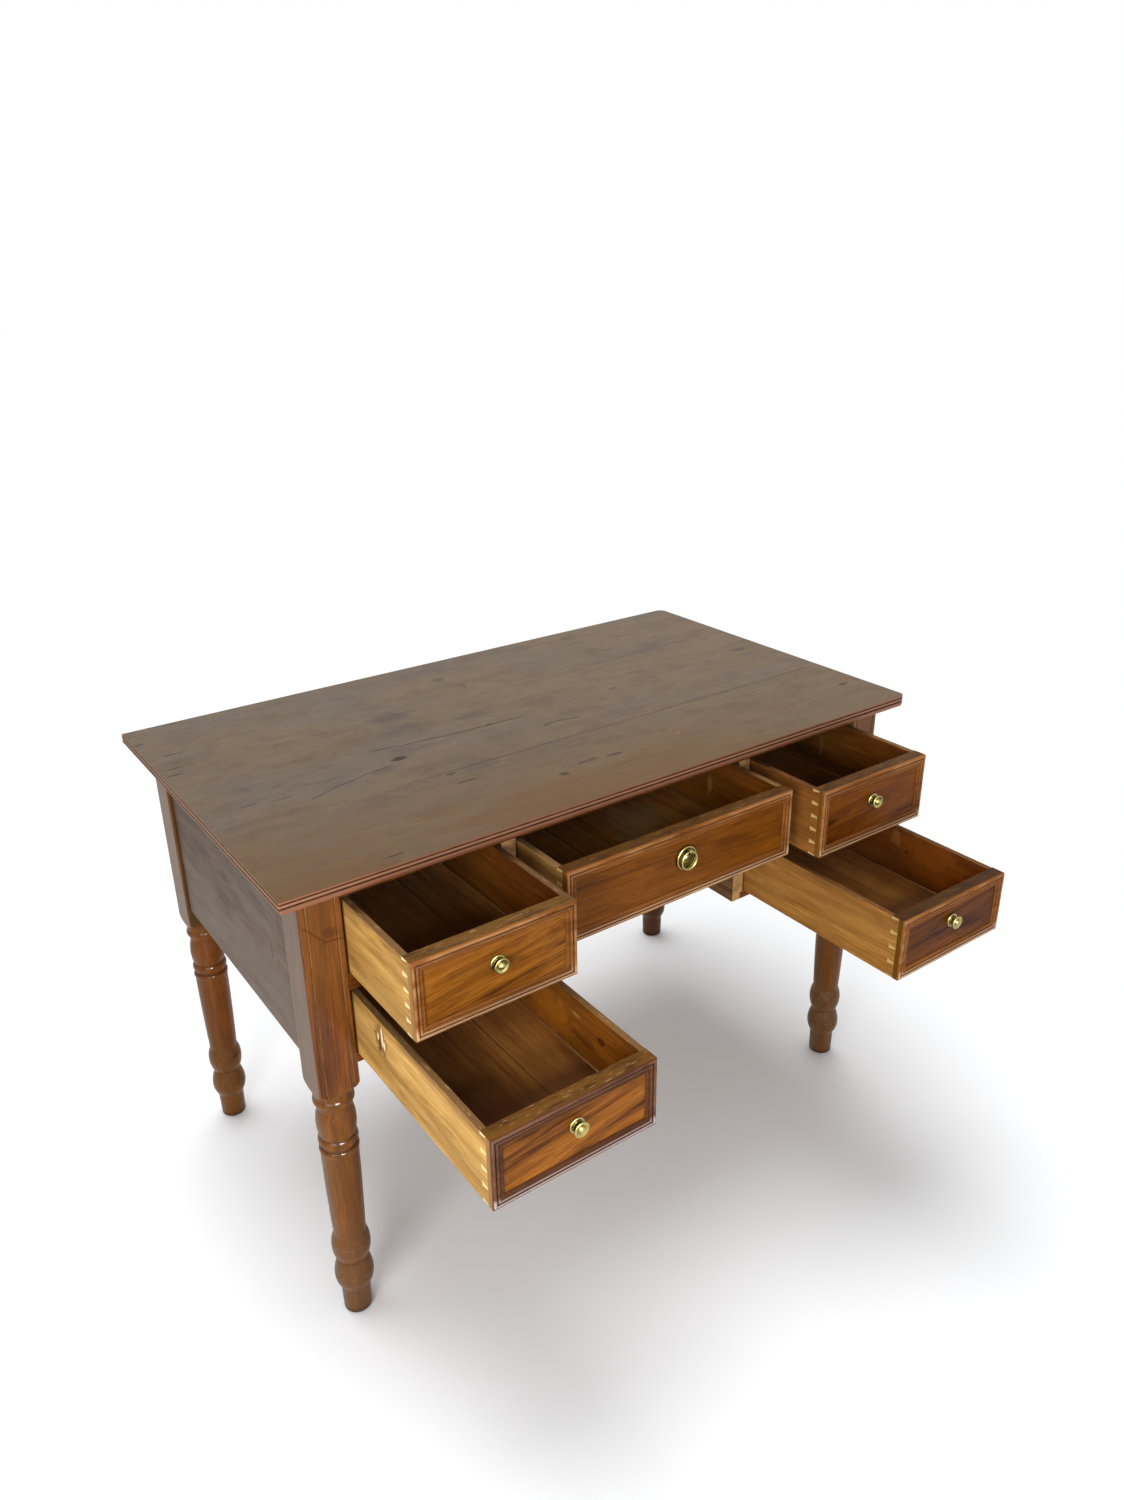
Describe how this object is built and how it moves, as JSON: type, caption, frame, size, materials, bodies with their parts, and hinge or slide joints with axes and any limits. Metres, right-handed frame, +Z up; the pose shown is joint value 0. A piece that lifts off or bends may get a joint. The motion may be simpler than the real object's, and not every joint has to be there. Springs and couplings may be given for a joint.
{
  "type": "writing desk",
  "caption": "Wooden writing desk on turned legs with a moulded board top, dovetailed drawers around a kneehole, brass knobs and a swinging ring pull.",
  "frame": {"origin": "on the floor, under the middle of the space that the desk takes up with its drawers open as at rest; the middle of the top lies 158.4 mm behind it", "axes": "+X along the desk to the right of a person sitting at it, +Y to the rear, +Z up"},
  "size_m": [1.142, 0.9718, 0.76],
  "materials": {
    "polished_top": "old polish with a sheen",
    "turned_leg_wood": "lacquered",
    "panel_wood": "old polish",
    "rail_wood": "lacquered",
    "rough_wood": "sawn and unfinished",
    "drawer_front_wood": "figured and lacquered",
    "drawer_side_wood": "planed and bare",
    "drawer_bottom_wood": "planed, darkened with age",
    "bead_wood": "lacquered",
    "aged_brass": "cast and turned, rubbed bright on the high parts",
    "screw_steel": "plain"
  },
  "bodies": {
    "carcass": {"back_panel": "panel_wood", "bottom_rail_left": "rail_wood", "bottom_rail_right": "rail_wood", "centre_rail": "rail_wood", "divider_rail_left": "rail_wood", "divider_rail_right": "rail_wood", "drawer_stops": "rough_wood", "inner_panel_left": "rough_wood", "inner_panel_right": "rough_wood", "kickers": "rough_wood", "leg_front_left": "turned_leg_wood", "leg_front_right": "turned_leg_wood", "leg_rear_left": "turned_leg_wood", "leg_rear_right": "turned_leg_wood", "runners_centre": "rough_wood", "runners_left": "rough_wood", "runners_right": "rough_wood", "side_panel_left": "panel_wood", "side_panel_right": "panel_wood", "top_board_front": "polished_top", "top_board_middle": "polished_top", "top_board_rear": "polished_top", "top_rail": "rail_wood", "top_screws": "screw_steel"},
    "upper_left_drawer": {"upper_left_drawer_back": "drawer_side_wood", "upper_left_drawer_bead": "bead_wood", "upper_left_drawer_bottom": "drawer_bottom_wood", "upper_left_drawer_front": "drawer_front_wood", "upper_left_drawer_knob": "aged_brass", "upper_left_drawer_left_side": "drawer_side_wood", "upper_left_drawer_right_side": "drawer_side_wood"},
    "lower_left_drawer": {"lower_left_drawer_back": "drawer_side_wood", "lower_left_drawer_bead": "bead_wood", "lower_left_drawer_bottom": "drawer_bottom_wood", "lower_left_drawer_front": "drawer_front_wood", "lower_left_drawer_knob": "aged_brass", "lower_left_drawer_left_side": "drawer_side_wood", "lower_left_drawer_right_side": "drawer_side_wood"},
    "upper_right_drawer": {"upper_right_drawer_back": "drawer_side_wood", "upper_right_drawer_bead": "bead_wood", "upper_right_drawer_bottom": "drawer_bottom_wood", "upper_right_drawer_front": "drawer_front_wood", "upper_right_drawer_knob": "aged_brass", "upper_right_drawer_left_side": "drawer_side_wood", "upper_right_drawer_right_side": "drawer_side_wood"},
    "lower_right_drawer": {"lower_right_drawer_back": "drawer_side_wood", "lower_right_drawer_bead": "bead_wood", "lower_right_drawer_bottom": "drawer_bottom_wood", "lower_right_drawer_front": "drawer_front_wood", "lower_right_drawer_knob": "aged_brass", "lower_right_drawer_left_side": "drawer_side_wood", "lower_right_drawer_right_side": "drawer_side_wood"},
    "centre_drawer": {"centre_drawer_back": "drawer_side_wood", "centre_drawer_bead": "bead_wood", "centre_drawer_bottom": "drawer_bottom_wood", "centre_drawer_front": "drawer_front_wood", "centre_drawer_left_side": "drawer_side_wood", "centre_drawer_pull_plate": "aged_brass", "centre_drawer_right_side": "drawer_side_wood"},
    "pull_ring": {"centre_drawer_pull_ring": "aged_brass"}
  },
  "joints": [
    {"name": "upper_left_slide", "type": "slide", "parent": "carcass", "child": "upper_left_drawer", "axis": [0, -1, 0], "range_m": [-0.176, 0.244]},
    {"name": "lower_left_slide", "type": "slide", "parent": "carcass", "child": "lower_left_drawer", "axis": [0, -1, 0], "range_m": [-0.338, 0.082]},
    {"name": "upper_right_slide", "type": "slide", "parent": "carcass", "child": "upper_right_drawer", "axis": [0, -1, 0], "range_m": [-0.152, 0.268]},
    {"name": "lower_right_slide", "type": "slide", "parent": "carcass", "child": "lower_right_drawer", "axis": [0, -1, 0], "range_m": [-0.32, 0.1]},
    {"name": "centre_slide", "type": "slide", "parent": "carcass", "child": "centre_drawer", "axis": [0, -1, 0], "range_m": [-0.115, 0.305]},
    {"name": "ring_swing", "type": "hinge", "parent": "centre_drawer", "child": "pull_ring", "pos_m": [0, -0.2585, 0.6809], "axis": [-1, 0, 0], "range_deg": [0, 95]}
  ]
}
